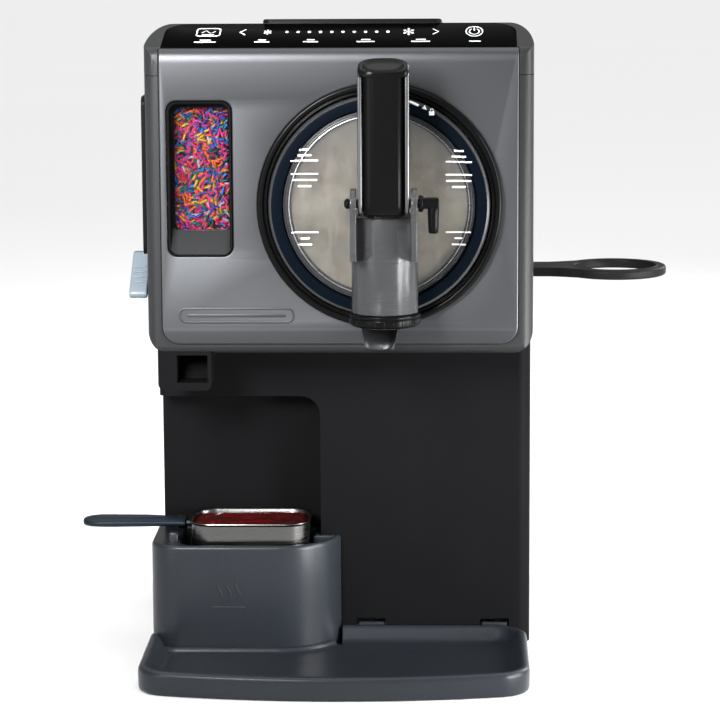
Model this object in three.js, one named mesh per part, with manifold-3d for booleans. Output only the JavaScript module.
// Countertop soft serve machine, in millimetres.
// Working frame: X to the right, Y towards the back, Z up. X = 0 is the middle of the head,
// Y = 0 the head's front edge and Z = 0 the worktop. The exported group is shifted so that
// its origin is the bottom centre of the whole machine.
import * as THREE from 'three';
import { mergeVertices } from 'three/addons/utils/BufferGeometryUtils.js';
import Module from 'manifold-3d';

const wasm = await Module();
wasm.setup();

// ---------------------------------------------------------------- driving dimensions
const gap = 0.35;                  // clearance between touching pieces
const wall = 3;                    // moulded wall thickness
const originX = 20.15;             // bottom centre of the whole machine, in the working frame
const originY = 106.844;

const headHalf = 133;              // half the head's width
const headBottom = 225.5;
const seamZ = 417.5;               // joint between the casing and the top cover
const headTop = 450;               // at the crest, behind the control glass
const roofTilt = 3.4;              // degrees the roof falls towards the back
const machineBack = 286;
const bodyCorner = 17;             // lower corners of the head
const frontEdge = 9;               // rounding of the head's front edges
const shoulder = 16;               // upper corners of the head
const brow = 426;                  // height where the front starts to roll back
const glassFront = { y: 5, z: 436.6 };
const glassBack = { y: 57, z: 450 };
const glassSlope = (glassBack.z - glassFront.z) / (glassBack.y - glassFront.y);

const panelHalf = 122.5;           // half the front panel's width
const panelBottom = 233;
const panelFront = -1.5;
const panelThick = 3;

const drumX = 27.6;                // axis of the freezing drum, parallel to Y
const drumZ = 329.5;
const drumInner = 56;
const lidRadius = 65.4;
const lockRing = { inner: 66, outer: 75, front: -12, back: -2.2 };

const nozzleX = 32;                // vertical axis of the dispensing tube
const nozzleY = -37;
const tubeRadius = 22.4;
const tubeBore = 19.9;
const tubeBottom = 261;
const tubeTop = 326.5;
const pivotY = -59;                // handle pivot, parallel to X
const pivotZ = 336.5;
const portZ = 281;                 // outlet from the drum into the tube

const recess = { x0: -117.8, x1: -72.7, z0: 294, z1: 400.6 };   // sprinkle window recess
const leverY = 50;                 // sprinkle lever pivot, parallel to X
const leverZ = 284;

const columnFront = 70;
const alcoveBack = 98;             // the column steps back behind the warmer
const alcoveRight = -17.5;
const alcoveTop = 184;

const blockLeft = -137.8;          // sauce warmer
const blockRight = -3;
const blockFront = 29;
const blockTop = 83;

const trayLeft = -139;
const trayRight = 130.5;
const trayFront = -78;
const trayBack = 68;
const trayHeight = 17;

const coneX = 192.5;               // centre of the cone ring
const coneY = 78;
const coneTop = 277.7;

// ---------------------------------------------------------------- materials
function finish(color, roughness, metalness) {
  return new THREE.MeshStandardMaterial({ color, roughness, metalness });
}
const blackPlastic = finish(0x1b1c1e, 0.5, 0);
const blackGloss = finish(0x0b0b0c, 0.1, 0);
const greyPanel = finish(0x77797d, 0.38, 0.7);
const slatePlastic = finish(0x4a4f57, 0.35, 0);
const steel = finish(0xb8bbbe, 0.3, 1);
const chrome = finish(0xe2e4e6, 0.12, 1);
const clearPlastic = finish(0xd8dadc, 0.08, 0);
const smokyPlastic = finish(0x8b8e92, 0.1, 0);
const navyRubber = finish(0x10192a, 0.5, 0);
const paddlePlastic = finish(0x93a3b1, 0.45, 0);
const blackRubber = finish(0x151515, 0.8, 0);
const copper = finish(0xb87348, 0.35, 1);
const foam = finish(0xe5dfc8, 0.95, 0);
const board = finish(0x1f5a3a, 0.6, 0);
const aluminium = finish(0xa9adb1, 0.4, 1);

// ---------------------------------------------------------------- shape helpers
const axisTurn = {
  x: new THREE.Matrix4().makeBasis(
    new THREE.Vector3(0, 1, 0), new THREE.Vector3(0, 0, 1), new THREE.Vector3(1, 0, 0)),
  y: new THREE.Matrix4().makeBasis(
    new THREE.Vector3(1, 0, 0), new THREE.Vector3(0, 0, 1), new THREE.Vector3(0, -1, 0)),
  z: new THREE.Matrix4(),
};

// A closed three.js geometry as a solid that can be cut and joined.
function solid(geometry) {
  const plain = geometry.clone();
  plain.deleteAttribute('normal');
  plain.deleteAttribute('uv');
  const merged = mergeVertices(plain, 1e-4);
  const index = merged.index.array;
  const kept = [];
  for (let i = 0; i < index.length; i += 3) {
    const [a, b, c] = [index[i], index[i + 1], index[i + 2]];
    if (a !== b && b !== c && c !== a) kept.push(a, b, c);
  }
  return new wasm.Manifold(new wasm.Mesh({
    numProp: 3,
    vertProperties: new Float32Array(merged.attributes.position.array),
    triVerts: new Uint32Array(kept),
  }));
}

function cut(body, ...tools) {
  return tools.reduce((left, tool) => left.subtract(tool), body);
}

function join(body, ...others) {
  return others.reduce((sum, other) => sum.add(other), body);
}

function box(x0, x1, y0, y1, z0, z1) {
  const geometry = new THREE.BoxGeometry(x1 - x0, y1 - y0, z1 - z0);
  geometry.translate((x0 + x1) / 2, (y0 + y1) / 2, (z0 + z1) / 2);
  return solid(geometry);
}

// A flat outline pushed along an axis. Outlines are drawn in (Y, Z), (X, Z) or (X, Y).
function prism(outline, axis, from, to, curveSegments = 4) {
  const options = { depth: to - from, bevelEnabled: false, curveSegments };
  const geometry = new THREE.ExtrudeGeometry(outline, options);
  geometry.applyMatrix4(axisTurn[axis]);
  const along = axis === 'y' ? to : from;
  geometry.translate(axis === 'x' ? along : 0, axis === 'y' ? along : 0, axis === 'z' ? along : 0);
  return solid(geometry);
}

function polygon(points) {
  return new THREE.Shape(points.map(([a, b]) => new THREE.Vector2(a, b)));
}

// Corner radii in the order lower left, lower right, upper right, upper left.
function roundedRect(x0, x1, y0, y1, radii) {
  const [ll, lr, ur, ul] = Array.isArray(radii) ? radii : [radii, radii, radii, radii];
  const quarter = Math.PI / 2;
  const shape = new THREE.Shape();
  shape.moveTo(x0 + ll, y0);
  shape.lineTo(x1 - lr, y0);
  if (lr > 0) shape.absarc(x1 - lr, y0 + lr, lr, -quarter, 0, false);
  shape.lineTo(x1, y1 - ur);
  if (ur > 0) shape.absarc(x1 - ur, y1 - ur, ur, 0, quarter, false);
  shape.lineTo(x0 + ul, y1);
  if (ul > 0) shape.absarc(x0 + ul, y1 - ul, ul, quarter, 2 * quarter, false);
  shape.lineTo(x0, y0 + ll);
  if (ll > 0) shape.absarc(x0 + ll, y0 + ll, ll, 2 * quarter, 3 * quarter, false);
  return shape;
}

// A turned piece. The profile is a list of [radius, distance along the axis].
function turned(profile, axis, a, b, sides = 28) {
  const points = profile.map(([r, h]) => new THREE.Vector2(r, h));
  const area = points.reduce((sum, p, i) => {
    const q = points[(i + 1) % points.length];
    return sum + p.x * q.y - q.x * p.y;
  }, 0);
  if (area < 0) points.reverse();
  const geometry = new THREE.LatheGeometry(points, sides);
  if (axis === 'y') geometry.translate(a, 0, b);
  if (axis === 'z') {
    geometry.rotateX(Math.PI / 2);
    geometry.translate(a, b, 0);
  }
  if (axis === 'x') {
    geometry.rotateZ(-Math.PI / 2);
    geometry.translate(0, a, b);
  }
  return solid(geometry);
}

function rod(radius, axis, a, b, from, to, sides = 16) {
  return turned([[0, from], [radius, from], [radius, to], [0, to]], axis, a, b, sides);
}

function ring(inner, outer, axis, a, b, from, to, sides = 24) {
  const profile = [[inner, from], [outer, from], [outer, to], [inner, to], [inner, from]];
  return turned(profile, axis, a, b, sides);
}

// A round tube along a smooth curve through the given points.
function pipe(points, radius, steps, sides = 8) {
  const curve = new THREE.CatmullRomCurve3(points.map((p) => new THREE.Vector3(...p)));
  const section = new THREE.Shape();
  for (let i = 0; i < sides; i += 1) {
    const angle = (2 * Math.PI * i) / sides;
    const corner = [radius * Math.cos(angle), radius * Math.sin(angle)];
    if (i === 0) section.moveTo(...corner);
    else section.lineTo(...corner);
  }
  return solid(new THREE.ExtrudeGeometry(section, { steps, extrudePath: curve, bevelEnabled: false }));
}

const machine = new THREE.Group();
machine.position.set(-originX, -originY, 0);

function addPart(group, name, body, material) {
  const { vertProperties, triVerts } = body.getMesh();
  const geometry = new THREE.BufferGeometry();
  geometry.setAttribute('position', new THREE.BufferAttribute(new Float32Array(vertProperties), 3));
  geometry.setIndex(new THREE.BufferAttribute(new Uint32Array(triVerts), 1));
  geometry.computeVertexNormals();
  const mesh = new THREE.Mesh(geometry, material);
  mesh.name = name;
  group.add(mesh);
}

function section(...position) {
  const group = new THREE.Group();
  group.position.set(...position);
  machine.add(group);
  return group;
}

// ---------------------------------------------------------------- head
// Pieces on the roof are drawn level, then tilted about the crest.
function onRoof(body) {
  const atCrest = body.translate([0, -glassBack.y, -headTop]);
  return atCrest.rotate([-roofTilt, 0, 0]).translate([0, glassBack.y, headTop]);
}

// The head's outer form, shrunk by inset on every side but the back. Its lower corners are
// round in front of the column and square above it, where the two sides meet.
function headForm(inset, back) {
  const half = headHalf - inset;
  const low = headBottom + inset;
  const front = roundedRect(-half, half, low, headTop + 20, [bodyCorner - inset, bodyCorner - inset, 0, 0]);
  const top = roundedRect(-half, half, 100, headTop - inset, [0, 0, shoulder - inset, shoulder - inset]);
  const roof = onRoof(prism(top, 'y', -80, back + 60, 5));
  const side = new THREE.Shape();
  side.moveTo(inset, low + frontEdge);
  side.quadraticCurveTo(inset, low, inset + frontEdge, low);
  side.lineTo(back, low);
  side.lineTo(back, glassBack.z - inset + 20 * glassSlope);
  side.lineTo(glassBack.y + inset + 20, glassBack.z - inset + 20 * glassSlope);
  side.lineTo(glassFront.y + inset, glassFront.z - inset);
  side.quadraticCurveTo(inset, glassFront.z - 2 - inset, inset, brow - inset);
  const square = box(-half, half, columnFront + inset, back, low, low + bodyCorner);
  const profile = prism(side, 'x', -headHalf - 1, headHalf + 1);
  const edge = frontEdge - inset;
  const plan = prism(roundedRect(-half, half, inset, back + 40, [edge, edge, 0, 0]), 'z', 200, 480);
  const body = prism(front, 'y', -20, back, 5).intersect(profile).intersect(plan).intersect(roof);
  return join(body, square);
}

function panelOutline(grow) {
  const half = panelHalf + grow;
  return roundedRect(-half, half, panelBottom - grow, 500, [12 + grow, 12 + grow, 0, 0]);
}

function headShell() {
  const shell = cut(headForm(0, machineBack), headForm(wall, machineBack + 5));
  const panelHole = prism(panelOutline(gap), 'y', -25, glassFront.y);
  return cut(shell, panelHole.intersect(box(-200, 200, -25, glassFront.y, 200, glassFront.z + 0.1)));
}

function headCasing() {
  const lower = headShell().intersect(box(-200, 200, -30, 400, 100, seamZ - gap / 2));
  const columnTop = box(-headHalf + wall, headHalf - wall, columnFront + wall, 400, 200, 240);
  const hopperDoor = box(-140, -120, 13, 103, 297, 401);
  const leverBore = rod(4.2, 'x', leverY, leverZ, -140, -120);
  const chuteSlot = box(-127, -88.8, 3.2, 66, 220, 240);
  const coneSlot = box(120, 140, coneY - 17.8, coneY + 17.8, coneTop - 7, coneTop + 0.6);
  return cut(lower, columnTop, hopperDoor, leverBore, chuteSlot, coneSlot);
}

// The control glass and its pocket are one slanted slab with round back corners.
function glassSlab(grow, thick, above) {
  const side = polygon([
    [glassFront.y - grow, glassFront.z - glassSlope * grow + above],
    [glassBack.y + grow, glassBack.z + glassSlope * grow + above],
    [glassBack.y + grow, glassBack.z + glassSlope * grow - thick],
    [glassFront.y - grow, glassFront.z - glassSlope * grow - thick],
  ]);
  const plan = roundedRect(-121 - grow, 121 + grow, glassFront.y - grow, glassBack.y + grow,
    [0, 0, 18 + grow, 18 + grow]);
  return prism(side, 'x', -130, 130).intersect(prism(plan, 'z', 400, 500));
}

const hatch = { x0: -55, x1: 70, y0: 60, y1: 150, top: 453 };
const hatchHinge = { y: 154, z: 445.4 };   // before the roof's tilt

function topCover() {
  const upper = headShell().intersect(box(-200, 200, -30, 400, seamZ + gap / 2, 600));
  const frameHole = onRoof(box(hatch.x0 - 4 - gap, hatch.x1 + 4 + gap,
    hatch.y0 - 1.6, hatchHinge.y + 8 + gap, 430, 460));
  return cut(upper, glassSlab(gap, 30, 5), frameHole);
}

function hatchFrame() {
  const body = box(hatch.x0 - 4, hatch.x1 + 4, hatch.y0 - 1.2, hatchHinge.y + 8, 438, headTop);
  const seat = box(hatch.x0 - 1, hatch.x1 + 1, hatch.y0 - 0.6, hatchHinge.y + 6.2, 446.6, 460);
  const trough = box(hatch.x0 + 8, hatch.x1 - 8, hatchHinge.y - 4.5, hatchHinge.y + 6.2, 441, 460);
  const pourHole = box(hatch.x0 + 11, hatch.x1 - 11, 70, 141, 430, 460);
  const pinBore = rod(1.9, 'x', hatchHinge.y, hatchHinge.z, hatch.x0 + 2, hatch.x1 - 2, 12);
  return onRoof(cut(body, seat, trough, pourHole, pinBore));
}

function hatchLid() {
  const plate = prism(roundedRect(hatch.x0, hatch.x1, hatch.y0, hatch.y1 - 0.6, 6), 'z', 447, hatch.top);
  const hollow = box(hatch.x0 + 3, hatch.x1 - 3, hatch.y0 + 3, hatch.y1 - 4, 440, 450);
  const arm = box(-24, 39, hatch.y1 - 4, hatchHinge.y, 447, 450);
  const barrel = rod(3.6, 'x', hatchHinge.y, hatchHinge.z, -24, 39, 16);
  const leaf = box(-24, 39, hatchHinge.y - 2.6, hatchHinge.y + 2.6, hatchHinge.z, 450);
  const plug = cut(box(hatch.x0 + 13, hatch.x1 - 13, 72, 139, 443, 450.5),
    box(hatch.x0 + 15, hatch.x1 - 15, 74, 137, 440, 448));
  const bore = rod(1.9, 'x', hatchHinge.y, hatchHinge.z, -30, 45, 12);
  return onRoof(cut(join(cut(plate, hollow), arm, barrel, leaf, plug), bore));
}

// A square funnel: a four-sided cone frustum, stretched to width.
function frustum(halfTop, halfBottom, z0, z1, stretch, x, y) {
  const geometry = new THREE.CylinderGeometry(
    halfTop * Math.SQRT2, halfBottom * Math.SQRT2, z1 - z0, 4, 1);
  geometry.rotateY(Math.PI / 4);
  geometry.rotateX(Math.PI / 2);
  geometry.scale(stretch, 1, 1);
  geometry.translate(x, y, (z0 + z1) / 2);
  return solid(geometry);
}

const funnel = { x: 7.5, y: 105.5, top: 432.4, low: 410 };

function fillFunnel() {
  const spoutBottom = drumZ + drumInner + 0.8;
  const stretch = 1.25;
  const outer = frustum(34, 14, funnel.low, funnel.top, stretch, funnel.x, funnel.y);
  const inner = frustum(32, 12, funnel.low - 0.01, funnel.top + 0.01, stretch, funnel.x, funnel.y);
  const spout = box(funnel.x - 17.5, funnel.x + 17.5, funnel.y - 14, funnel.y + 14, spoutBottom, funnel.low + 1);
  const bore = box(funnel.x - 15, funnel.x + 15, funnel.y - 12, funnel.y + 12, spoutBottom - 1, funnel.low + 2);
  return cut(join(outer, spout), inner, bore);
}

// Room for the funnel's spout through everything that wraps the drum.
function spoutHole() {
  return box(funnel.x - 18.2, funnel.x + 18.2, funnel.y - 14.7, funnel.y + 14.7, drumZ + 40, 440);
}

function frontPanel() {
  const back = panelFront + panelThick;
  const side = new THREE.Shape();
  side.moveTo(panelFront, panelBottom);
  side.lineTo(back, panelBottom);
  side.lineTo(back, brow);
  side.quadraticCurveTo(back, glassFront.z - 4.5, glassFront.y - 0.6, glassFront.z - 3.5);
  side.lineTo(glassFront.y - 0.6, glassFront.z - 0.6);
  side.quadraticCurveTo(panelFront, glassFront.z - 1.5, panelFront, brow);
  const sheet = prism(side, 'x', -panelHalf, panelHalf).intersect(prism(panelOutline(0), 'y', -30, 30));
  const windowHole = prism(roundedRect(recess.x0, recess.x1, recess.z0, recess.z1, 7.2), 'y', -10, 10);
  const drumHole = rod(76.2, 'y', drumX, drumZ, -10, 10, 48);
  const tongueSide = polygon([
    [panelFront + 0.2, 245], [-9, 244.6], [-16, 241], [-20, 235.5], [-20, 232.5], [panelFront + 0.2, 234],
  ]);
  const tongue = prism(tongueSide, 'x', drumX - 14, drumX + 14);
  return join(cut(sheet, windowHole, drumHole), tongue);
}

function sprinkleBezel() {
  const { x0, x1, z0, z1 } = recess;
  const block = prism(roundedRect(x0 + gap, x1 - gap, z0 + gap, z1 - gap, 7), 'y', -1, 13);
  const hollow = prism(roundedRect(x0 + 1.6, x1 - 1.6, z0 + 14, z1 - 1.6, 6), 'y', -5, 9);
  const rampSide = polygon([[-5, z0 + 0.6], [-1, z0 + 1.4], [9, z0 + 16.5], [9, z0 + 30], [-5, z0 + 30]]);
  const ramp = prism(rampSide, 'x', x0 + 3.2, x1 - 3.2);
  const window = prism(roundedRect(-113.4, -75, 311, 395.3, 5.5), 'y', -5, 20);
  return cut(block, hollow, ramp, window);
}

// The touch sensor board lies parallel to the glass, just under it.
function controlBoard() {
  const rise = (y) => glassFront.z + glassSlope * (y - glassFront.y);
  const side = polygon([[11, rise(11) - 5], [49, rise(49) - 5], [49, rise(49) - 6.6], [11, rise(11) - 6.6]]);
  return prism(side, 'x', -112, 112);
}

function buildHead() {
  const head = section(0, 0, 0);
  addPart(head, 'head_casing', headCasing(), blackPlastic);
  addPart(head, 'top_cover', topCover(), blackPlastic);
  addPart(head, 'front_panel', frontPanel(), greyPanel);
  addPart(head, 'control_glass', glassSlab(0, 2.6, 0), blackGloss);
  addPart(head, 'control_board', controlBoard(), board);
  addPart(head, 'hatch_frame', hatchFrame(), blackPlastic);
  addPart(head, 'hatch_lid', hatchLid(), blackPlastic);
  const pin = rod(1.5, 'x', hatchHinge.y, hatchHinge.z, hatch.x0 + 3, hatch.x1 - 3, 12);
  addPart(head, 'hatch_pin', onRoof(pin), steel);
  addPart(head, 'fill_funnel', fillFunnel(), clearPlastic);
  addPart(head, 'sprinkle_bezel', sprinkleBezel(), blackPlastic);
}

// ---------------------------------------------------------------- freezing drum and drive
const gear = { module: 3, drumTeeth: 24, pinionTeeth: 8, front: 189, back: 199 };
const gearSpacing = (gear.module * (gear.drumTeeth + gear.pinionTeeth)) / 2;
const motorZ = -gearSpacing;

// Straight-sided teeth, thin enough to run with backlash. turn shifts them by a part of a pitch.
function gearWheel(teeth, turn) {
  const pitchRadius = (gear.module * teeth) / 2;
  const tip = pitchRadius + 0.75 * gear.module;
  const root = pitchRadius - 1.1 * gear.module;
  const pitchAngle = (2 * Math.PI) / teeth;
  const corners = [];
  for (let i = 0; i < teeth; i += 1) {
    const middle = (i + turn) * pitchAngle;
    const rootHalf = 2.1 / root;
    const tipHalf = 1 / tip;
    for (const [radius, shift] of [[root, -rootHalf], [tip, -tipHalf], [tip, tipHalf], [root, rootHalf]]) {
      corners.push([radius * Math.cos(middle + shift), radius * Math.sin(middle + shift)]);
    }
  }
  return prism(polygon(corners), 'y', gear.front, gear.back);
}

function dasher() {
  const shaft = rod(5, 'y', 0, 0, 10, 204, 16);
  const hub = rod(9, 'y', 0, 0, 16, 172, 16);
  const bars = [];
  for (const spin of [0, 1]) {
    const reach = spin === 0 ? [-52, 52, -5, 5] : [-5, 5, -52, 52];
    for (const y of spin === 0 ? [20, 92, 160] : [56, 126]) {
      bars.push(box(reach[0], reach[1], y, y + 6, reach[2], reach[3]));
    }
  }
  for (const side of [-1, 1]) {
    bars.push(box(side * 50 - 3, side * 50 + 3, 20, 166, -7, 7));
    bars.push(box(-7, 7, 56, 132, side * 50 - 3, side * 50 + 3));
  }
  return join(shaft, hub, ...bars);
}

function gearboxOutline(grow) {
  const shape = new THREE.Shape();
  shape.absarc(0, 0, 42 + grow, 0, Math.PI, false);
  shape.lineTo(-42 - grow, motorZ - 18 - grow);
  shape.lineTo(42 + grow, motorZ - 18 - grow);
  return shape;
}

function buildDrive() {
  const drive = section(drumX, 0, drumZ);
  const drum = turned([
    [drumInner, 9], [72, 9], [72, 10.6], [drumInner + 1.6, 10.6], [drumInner + 1.6, 178],
    [8, 178], [8, 176.4], [drumInner, 176.4], [drumInner, 9],
  ], 'y', 0, 0, 28);
  const hole = spoutHole().translate([-drumX, 0, -drumZ]);
  addPart(drive, 'freezing_drum', cut(drum, hole), steel);

  addPart(drive, 'evaporator_jacket', cut(ring(58.4, 62, 'y', 0, 0, 24, 168), hole), copper);
  const insulation = cut(ring(62.9, 80, 'y', 0, 0, 12, 172), hole);
  const pipeWay = box(-6, 6, 150, 180, -90, -50);
  addPart(drive, 'drum_insulation', cut(insulation, pipeWay), foam);
  addPart(drive, 'dasher', dasher(), steel);

  const gearBore = rod(5.35, 'y', 0, 0, 180, 210, 16);
  const drumGear = join(gearWheel(gear.drumTeeth, 0.5), rod(11, 'y', 0, 0, 186, 202, 20));
  addPart(drive, 'drum_gear', cut(drumGear, gearBore), steel);
  const pinion = gearWheel(gear.pinionTeeth, 0).translate([0, 0, motorZ]);
  addPart(drive, 'motor_pinion', join(pinion, rod(4, 'y', 0, motorZ, 186.5, 236, 16)), steel);

  const cup = cut(prism(gearboxOutline(0), 'y', 182, 206, 8), prism(gearboxOutline(-wall), 'y', 185, 207, 8));
  addPart(drive, 'gearbox_housing', cut(cup, rod(6, 'y', 0, 0, 180, 190, 16)), aluminium);
  const cover = prism(gearboxOutline(0), 'y', 206.4, 209.4, 8);
  addPart(drive, 'gearbox_cover', cut(cover, rod(5, 'y', 0, motorZ, 200, 215, 16)), aluminium);
  const motor = turned([
    [4.6, 209.8], [36, 209.8], [36, 262], [30, 268], [0, 268], [0, 240], [4.6, 240], [4.6, 209.8],
  ], 'y', 0, motorZ, 24);
  addPart(drive, 'drive_motor', motor, steel);

  const bezel = turned([
    [76, -1.9], [76, -5], [79, -8.5], [82, -8.5], [84, -6.5], [84, -1.9], [76, -1.9],
  ], 'y', 0, 0, 44);
  addPart(drive, 'panel_ring', bezel, blackPlastic);
}

// ---------------------------------------------------------------- drum lid, tube and handle
function buildLid() {
  const lid = section(drumX, 0, drumZ);
  const portX = nozzleX - drumX;
  const port = rod(8.5, 'y', portX, portZ - drumZ, -30, 20, 20);
  const disc = turned([
    [0, -8], [62, -8], [62, -9.5], [lidRadius, -9.5], [lidRadius, 4], [60, 4], [60, -4], [0, -4],
  ], 'y', 0, 0, 36);
  addPart(lid, 'drum_lid', cut(disc, port), clearPlastic);
  addPart(lid, 'lid_gasket', ring(59, 65, 'y', 0, 0, 4.4, 8.4, 28), blackRubber);
  const lock = turned([
    [lockRing.inner, lockRing.back], [lockRing.inner, lockRing.front + 1.5],
    [lockRing.inner + 1.5, lockRing.front], [lockRing.outer - 1.5, lockRing.front],
    [lockRing.outer, lockRing.front + 1.5], [lockRing.outer, lockRing.back], [lockRing.inner, lockRing.back],
  ], 'y', 0, 0, 48);
  addPart(lid, 'lock_ring', lock, navyRubber);
}

// The ears that carry the handle: round at the pivot, running down into the tube's sides.
function earOutline() {
  const shape = new THREE.Shape();
  const radius = 10.5;
  shape.moveTo(-12, 300 - pivotZ);
  shape.lineTo(11, 300 - pivotZ);
  shape.lineTo(33, 300 - pivotZ);
  shape.lineTo(33, 322 - pivotZ);
  shape.lineTo(radius * Math.cos(0.6), radius * Math.sin(0.6));
  shape.absarc(0, 0, radius, 0.6, Math.PI, false);
  shape.lineTo(-radius, -16);
  return shape;
}

function dispenseTube() {
  const lift = tubeBottom - pivotZ;
  const inY = nozzleY - pivotY;
  const barrel = rod(tubeRadius, 'z', 0, inY, lift, tubeTop - pivotZ, 28);
  const ears = [-1, 1].map((side) => {
    const near = side < 0 ? -22.4 : 18;
    return prism(earOutline(), 'x', near, near + 4.4);
  });
  const neck = rod(11.5, 'y', 0, portZ - pivotZ, inY + 15, -8.4 - pivotY, 20);
  const bore = rod(tubeBore, 'z', 0, inY, lift - 5, 20, 28);
  const port = rod(8.5, 'y', 0, portZ - pivotZ, inY, 60, 20);
  const pinBore = rod(3.4, 'x', 0, 0, -30, 30, 16);
  return cut(join(barrel, ...ears, neck), bore, port, pinBore);
}

function handleProfile(back) {
  const shape = new THREE.Shape();
  const radius = 9;
  shape.absarc(0, 0, radius, Math.PI, 2 * Math.PI, false);
  shape.lineTo(back, 95);
  shape.quadraticCurveTo(back - 1, 97.5, back - 5, 96.5);
  shape.lineTo(-radius + 1.2, 88.5);
  shape.quadraticCurveTo(-radius, 87.6, -radius, 86);
  return shape;
}

function buildHandle() {
  const handle = section(nozzleX, pivotY, pivotZ);
  const bore = rod(3.4, 'x', 0, 0, -40, 40, 16);
  const arm = box(-4.5, 4.5, 5, 28, -4.5, 4.5);
  const core = prism(handleProfile(9), 'x', -14, 14);
  addPart(handle, 'handle_lever', cut(join(core, arm), bore), blackPlastic);
  for (const [name, side] of [['handle_trim_left', -1], ['handle_trim_right', 1]]) {
    const near = side < 0 ? -17 : 14.35;
    const strip = prism(handleProfile(8), 'x', near, near + 2.65);
    addPart(handle, name, cut(strip, bore), chrome);
  }
  const pin = join(rod(3, 'x', 0, 0, -26.5, 26, 16), rod(5.6, 'x', 0, 0, 23, 26.5, 20),
    box(26, 37, -3.6, 3.6, -3.6, 3.6), rod(3.9, 'z', 33, 0, -20, 3.6, 16));
  addPart(handle, 'pivot_pin', pin, blackPlastic);
  addPart(handle, 'dispense_tube', dispenseTube(), smokyPlastic);
}

function buildNozzle() {
  const nozzle = section(nozzleX, nozzleY, 0);
  const seats = [270, 296];
  const pistonRadius = 19.4;
  const outline = [[0, 264], [pistonRadius, 264]];
  for (const z of seats) outline.push([pistonRadius, z], [16.8, z], [16.8, z + 3], [pistonRadius, z + 3]);
  outline.push([pistonRadius, 304], [0, 304]);
  const prongs = [-1, 1].map((side) => box(side * 9.5 - 2.5, side * 9.5 + 2.5, -4, 4, 303, 346));
  addPart(nozzle, 'plunger', join(turned(outline, 'z', 0, 0, 24), ...prongs), blackPlastic);
  for (const [i, name] of ['plunger_seal_lower', 'plunger_seal_upper'].entries()) {
    addPart(nozzle, name, ring(17.1, 19.6, 'z', 0, 0, seats[i] + 0.3, seats[i] + 2.7, 24), blackRubber);
  }
  const collar = turned([
    [18, 252], [22.5, 252], [24.2, 253.5], [24.2, tubeBottom - gap], [18, tubeBottom - gap], [18, 252],
  ], 'z', 0, 0, 28);
  addPart(nozzle, 'nozzle_collar', collar, blackPlastic);
  const points = 8;
  const star = [];
  for (let i = 0; i < 2 * points; i += 1) {
    const radius = i % 2 === 0 ? 12 : 7;
    const angle = (Math.PI * i) / points;
    star.push([radius * Math.cos(angle), radius * Math.sin(angle)]);
  }
  const tip = rod(17.6, 'z', 0, 0, 251, 257, 28);
  addPart(nozzle, 'nozzle_tip', cut(tip, prism(polygon(star), 'z', 240, 265)), clearPlastic);
}

// ---------------------------------------------------------------- sprinkle dispenser
function sprinkleHopper() {
  const shell = cut(box(-131.5, -73.5, 14, 101, 302, 398), box(-129.5, -75.5, 16, 99, 304, 400));
  return cut(shell, box(-112, -92, 40, 60, 300, 306));
}

function gateRoller() {
  const drumBody = rod(13, 'x', 0, 0, -115, -89, 20);
  const pocket = box(-112, -92, -5, 5, 4, 20);
  return join(cut(drumBody, pocket), rod(3.5, 'x', 0, 0, -145, -84, 16));
}

function leverPaddle() {
  const side = new THREE.Shape();
  side.absarc(0, 0, 8, -0.4, Math.PI * 0.62, false);
  side.lineTo(-37, -14.5);
  side.quadraticCurveTo(-40, -17, -38.5, -20.5);
  side.lineTo(-36, -21.5);
  return cut(prism(side, 'x', -146.5, -134), rod(3.85, 'x', 0, 0, -150, -130, 16));
}

function sprinkleChute() {
  const side = polygon([
    [3.6, 199.5], [3.6, 231], [34, 268], [66, 268], [66, 257], [40, 226], [26, 199.5],
  ]);
  const outer = prism(side, 'x', -126.4, -89.3);
  const fillet = prism(roundedRect(-126.4, -89.3, 199.5, 300, [5, 5, 0, 0]), 'y', -5, 80);
  const way = polygon([
    [0, 205.3], [0, 223], [8, 226], [38, 262], [38, 270], [62, 270], [62, 258], [22, 205.3],
  ]);
  return cut(outer.intersect(fillet), prism(way, 'x', -113.3, -92));
}

function leverSpring() {
  const points = [];
  for (let i = 0; i <= 30; i += 1) {
    const angle = (2 * Math.PI * i * 3) / 30;
    points.push([-128 + i * 0.3, 5.6 * Math.cos(angle), 5.6 * Math.sin(angle)]);
  }
  return pipe(points, 0.7, 30, 4);
}

function buildSprinkles() {
  const group = section(0, 0, 0);
  addPart(group, 'sprinkle_hopper', sprinkleHopper(), clearPlastic);
  const cover = prism(roundedRect(11.5, 104.5, 293.5, 402.5, 6), 'x', -136, -133.4);
  const stem = box(-133.5, -132, 18, 98, 304, 396);
  addPart(group, 'hopper_cover', join(cover, stem), blackPlastic);
  addPart(group, 'sprinkle_chute', sprinkleChute(), blackPlastic);
  const gate = section(0, leverY, leverZ);
  addPart(gate, 'gate_roller', gateRoller(), clearPlastic);
  addPart(gate, 'sprinkle_lever', leverPaddle(), paddlePlastic);
  addPart(gate, 'lever_spring', leverSpring(), steel);
}

// ---------------------------------------------------------------- column and base
function columnForm(inset, z0, z1) {
  const plan = roundedRect(-headHalf + inset, headHalf - inset, columnFront + inset, machineBack + inset * 2,
    [7 - inset, 9 - inset, 0, 0]);
  const alcove = prism(roundedRect(-300, alcoveRight + inset, -100, alcoveTop + inset, [0, 0, 14 + inset, 0]),
    'y', 0, alcoveBack + inset);
  return cut(prism(plan, 'z', z0, z1), alcove);
}

function columnShell() {
  const shell = cut(columnForm(0, 3, headBottom - gap), columnForm(wall, -10, 300));
  const catches = [[9, 28], [98, 117]].map(([x0, x1]) => box(x0 - 1, x1 + 1, 60, 80, 10, 21));
  return cut(shell, ...catches);
}

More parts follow.
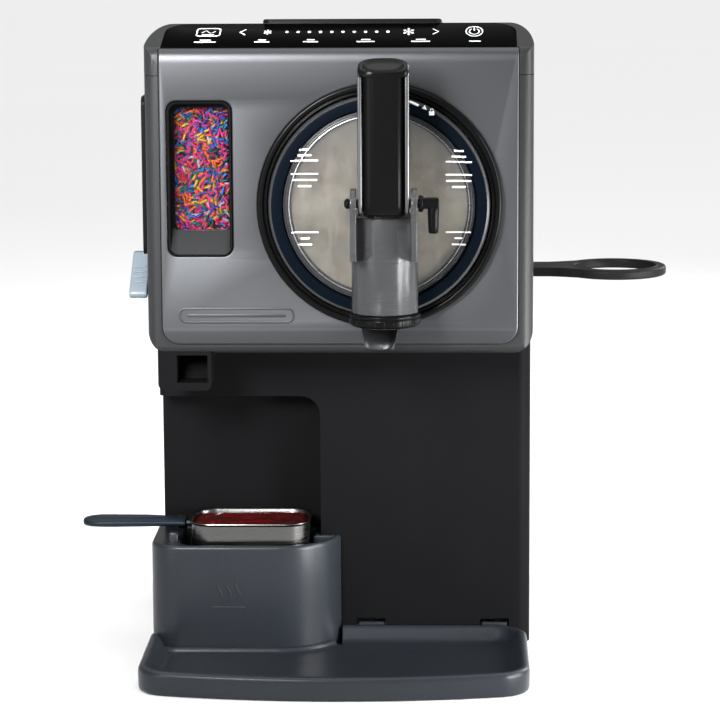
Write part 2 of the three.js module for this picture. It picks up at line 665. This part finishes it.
function rearCover() {
  const plate = prism(roundedRect(-130.5, 130.5, 12, 433.4, [8, 8, 13, 13]), 'y', machineBack + gap, 289.4);
  const slots = [];
  for (let row = 0; row < 7; row += 1) {
    slots.push(box(16, 112, 280, 300, 55 + row * 14, 62 + row * 14));
    slots.push(box(-100, -20, 280, 300, 83 + row * 14, 90 + row * 14));
  }
  return cut(plate, ...slots, box(-104.4, -73.6, 280, 300, 31.6, 56.4));
}

function powerInlet() {
  const body = join(box(-104, -74, 262, 289.4, 32, 56), box(-108, -70, 289.8, 291.4, 28, 60),
    box(-104, -74, 289, 290.5, 32, 56));
  const blades = [-94, -89, -84].map((x) => box(x - 1, x + 1, 265, 284, 41, 47));
  return cut(body, cut(box(-100, -78, 272, 300, 36, 52), ...blades));
}

const shroud = { x: 64, z: 100, radius: 47 };

function fanShroud() {
  const plate = box(shroud.x - 52, shroud.x + 52, 242, 246, shroud.z - 52, shroud.z + 52);
  const duct = ring(shroud.radius, shroud.radius + 2.5, 'y', shroud.x, shroud.z, 242, 264, 28);
  const opening = rod(shroud.radius, 'y', shroud.x, shroud.z, 230, 270, 28);
  const hub = ring(4.5, 13, 'y', shroud.x, shroud.z, 241, 247, 20);
  const struts = [
    box(shroud.x - 48, shroud.x - 12, 242, 245.8, shroud.z - 2.5, shroud.z + 2.5),
    box(shroud.x + 12, shroud.x + 48, 242, 245.8, shroud.z - 2.5, shroud.z + 2.5),
    box(shroud.x - 2.5, shroud.x + 2.5, 242, 245.8, shroud.z - 48, shroud.z - 12),
    box(shroud.x - 2.5, shroud.x + 2.5, 242, 245.8, shroud.z + 12, shroud.z + 48),
  ];
  return join(cut(join(plate, duct), opening), hub, ...struts);
}

function coolingFan() {
  const hub = join(rod(14, 'y', 0, 0, 248.5, 262, 20), rod(4, 'y', 0, 0, 238, 250, 16));
  const blades = [];
  for (let i = 0; i < 5; i += 1) {
    const blade = new THREE.BoxGeometry(20, 2, 32);
    blade.rotateZ(0.5);
    blade.translate(0, 255, 28.5);
    blade.rotateY((2 * Math.PI * i) / 5);
    blades.push(solid(blade));
  }
  return join(hub, ...blades);
}

function condenser() {
  const core = box(shroud.x - 50, shroud.x + 50, 214, 234, shroud.z - 50, shroud.z + 50);
  const slots = [];
  for (let i = 0; i < 8; i += 1) {
    const x = shroud.x - 45 + i * 12;
    slots.push(box(x, x + 6, 200, 226, shroud.z - 46, shroud.z + 46));
  }
  return cut(core, ...slots);
}

function buildColumn() {
  const column = section(0, 0, 0);
  addPart(column, 'column_shell', columnShell(), blackPlastic);
  addPart(column, 'rear_cover', rearCover(), blackPlastic);
  addPart(column, 'base_plate', columnForm(wall + 1, 7, 9).intersect(box(-200, 200, 0, 284, 0, 20)), steel);
  addPart(column, 'power_inlet', powerInlet(), blackPlastic);
  const compressor = turned([
    [0, 9.4], [52, 9.4], [52, 12], [45, 14], [46, 30], [46, 118], [40, 136], [26, 146], [0, 149],
  ], 'z', -66, 170, 24);
  addPart(column, 'compressor', compressor, blackPlastic);
  addPart(column, 'condenser', condenser(), aluminium);
  addPart(column, 'fan_shroud', fanShroud(), blackPlastic);
  addPart(column, 'power_supply', box(20, 108, 110, 196, 9.4, 54), aluminium);
  const line = pipe([
    [-66, 170, 149.8], [-66, 172, 166], [-52, 172, 190], [-10, 170, 205], [18, 168, 222],
    [drumX, 164, 240], [drumX, 163, drumZ - 63.4],
  ], 3, 16, 6);
  addPart(column, 'refrigerant_line', line, copper);
  const fan = section(shroud.x, 0, shroud.z);
  addPart(fan, 'cooling_fan', coolingFan(), blackPlastic);
  const corners = [[-112, 122], [-112, 264], [112, 92], [112, 264]];
  for (const [i, [x, y]] of corners.entries()) {
    const foot = rod(12, 'z', x, y, 0, 6.6);
    addPart(column, `foot_${i + 1}`, foot, blackRubber);
  }
}

// ---------------------------------------------------------------- sauce warmer
// Plan of the warmer: a small front left corner and a sweeping front right one.
function warmerPlan(grow) {
  return roundedRect(blockLeft - grow, blockRight + grow, blockFront - grow, alcoveBack - gap,
    [22 + grow, 45 + grow, 0, 0]);
}

function warmerHousing() {
  const outer = prism(warmerPlan(0), 'z', 1.5, blockTop, 7);
  const inner = prism(warmerPlan(-wall), 'z', -1, 58, 5).intersect(box(-200, 200, 0, alcoveBack - 3.4, -5, 80));
  const stop = box(-125, -118.5, 46, 54, blockTop - 1, blockTop + 6);
  const besideAlcove = box(alcoveRight - gap, 50, columnFront - gap, 200, -5, 100);
  const besideCavity = box(alcoveRight - gap - wall, 50, columnFront - gap - wall, 200, -5, 100);
  const rim = 4.5;
  const besideWell = box(alcoveRight - gap - rim, 50, columnFront - gap - rim, 200, -5, 100);
  const well = prism(warmerPlan(-rim), 'z', 62, 90, 7).intersect(box(-117, 0, 33, 93.5, 60, 95));
  return join(cut(outer, cut(inner, besideCavity), cut(well, besideWell), besideAlcove), stop);
}

const pan = { x0: -111, x1: -24, y0: 36, y1: 94, z0: 64.8, z1: 97.6, corner: 17 };

function saucePan() {
  const body = prism(roundedRect(pan.x0 + 1.5, pan.x1 - 1.5, pan.y0 + 1.5, pan.y1 - 1.5, pan.corner - 1.5),
    'z', pan.z0, pan.z1);
  const rim = prism(roundedRect(pan.x0, pan.x1, pan.y0, pan.y1, pan.corner), 'z', pan.z1 - 1.2, pan.z1);
  const hollow = prism(roundedRect(pan.x0 + 3, pan.x1 - 3, pan.y0 + 3, pan.y1 - 3, pan.corner - 3),
    'z', pan.z0 + 1.5, pan.z1 + 1);
  const tang = box(-134, pan.x0 + 2.5, 60, 70, 92, 95);
  return cut(join(body, rim, tang), hollow);
}

function panHandle() {
  const grip = prism(roundedRect(-188.5, -114, 53, 77, [11, 5, 5, 11]), 'z', 90.4, 96.8);
  return cut(grip, box(-134.5, -110, 59.6, 70.4, 91.6, 95.4));
}

function buildWarmer() {
  const warmer = section(0, 0, 0);
  addPart(warmer, 'warmer_housing', warmerHousing(), slatePlastic);
  const plate = prism(roundedRect(-106, -29, 41, 89, 10), 'z', 62.35, 64.4);
  addPart(warmer, 'heater_plate', plate, aluminium);
  addPart(warmer, 'sauce_pan', saucePan(), steel);
  addPart(warmer, 'pan_handle', panHandle(), navyRubber);
}

// ---------------------------------------------------------------- drip tray
function trayPlan(inset) {
  const x0 = trayLeft + inset;
  const x1 = trayRight - inset;
  const y0 = trayFront + inset;
  const y1 = trayBack - inset;
  const middle = (x0 + x1) / 2;
  const corner = 24 - inset;
  const bow = 12;
  const quarter = Math.PI / 2;
  const shape = new THREE.Shape();
  shape.moveTo(x0, y0 + bow + corner);
  shape.absarc(x0 + corner, y0 + bow + corner, corner, 2 * quarter, 3 * quarter - 0.14, false);
  shape.quadraticCurveTo(middle, y0 - bow, x1 - corner, y0 + bow);
  shape.absarc(x1 - corner, y0 + bow + corner, corner, 3 * quarter + 0.14, 4 * quarter, false);
  shape.lineTo(x1, y1 - corner);
  shape.absarc(x1 - corner, y1 - corner, corner, 0, quarter, false);
  shape.lineTo(x0, y1);
  return shape;
}

function dripTray() {
  const floor = 7;
  const outer = prism(trayPlan(0), 'z', 0, trayHeight, 7);
  const basin = prism(trayPlan(9), 'z', 9, 30, 7);
  const lipped = cut(prism(trayPlan(9), 'z', floor, 9.1, 7), prism(warmerPlan(3.4), 'z', 0, 30, 6));
  const block = prism(warmerPlan(1.2), 'z', -5, 30, 8);
  const behind = box(-200, blockRight + 1.2, alcoveBack - 50, 200, -5, 30);
  const underside = cut(prism(trayPlan(4), 'z', -5, 4.5, 3), prism(warmerPlan(5.2), 'z', -5, 30, 3));
  const backLeft = box(-200, -100, 40, 200, -5, 30);
  const hooks = [[9.5, 27.5], [98.5, 116.5]].map(([x0, x1]) => box(x0, x1, 64, 71.6, 12, 19.4));
  return cut(join(outer, ...hooks), basin, lipped, block, behind, underside, backLeft);
}

// ---------------------------------------------------------------- cone holder
function coneHolder() {
  const bottom = coneTop - 6.4;
  const disc = rod(36.3, 'z', coneX, coneY, bottom, coneTop, 40);
  const arm = polygon([
    [118, coneY - 17], [150, coneY - 17], [166, coneY - 24], [166, coneY + 24], [150, coneY + 17], [118, coneY + 17],
  ]);
  const hole = rod(29, 'z', coneX, coneY, 200, 300, 40);
  return cut(join(disc, prism(arm, 'z', bottom, coneTop)), hole);
}

function coneSocket() {
  const body = box(114, 129.6, coneY - 22, coneY + 22, coneTop - 11, coneTop + 4);
  return cut(body, box(117, 140, coneY - 17.5, coneY + 17.5, coneTop - 6.8, coneTop + 0.4));
}

function buildTrayAndHolder() {
  const group = section(0, 0, 0);
  addPart(group, 'drip_tray', dripTray(), slatePlastic);
  addPart(group, 'cone_holder', coneHolder(), slatePlastic);
  addPart(group, 'cone_socket', coneSocket(), blackPlastic);
}

buildHead();
buildDrive();
buildLid();
buildHandle();
buildNozzle();
buildSprinkles();
buildColumn();
buildWarmer();
buildTrayAndHolder();

export default machine;
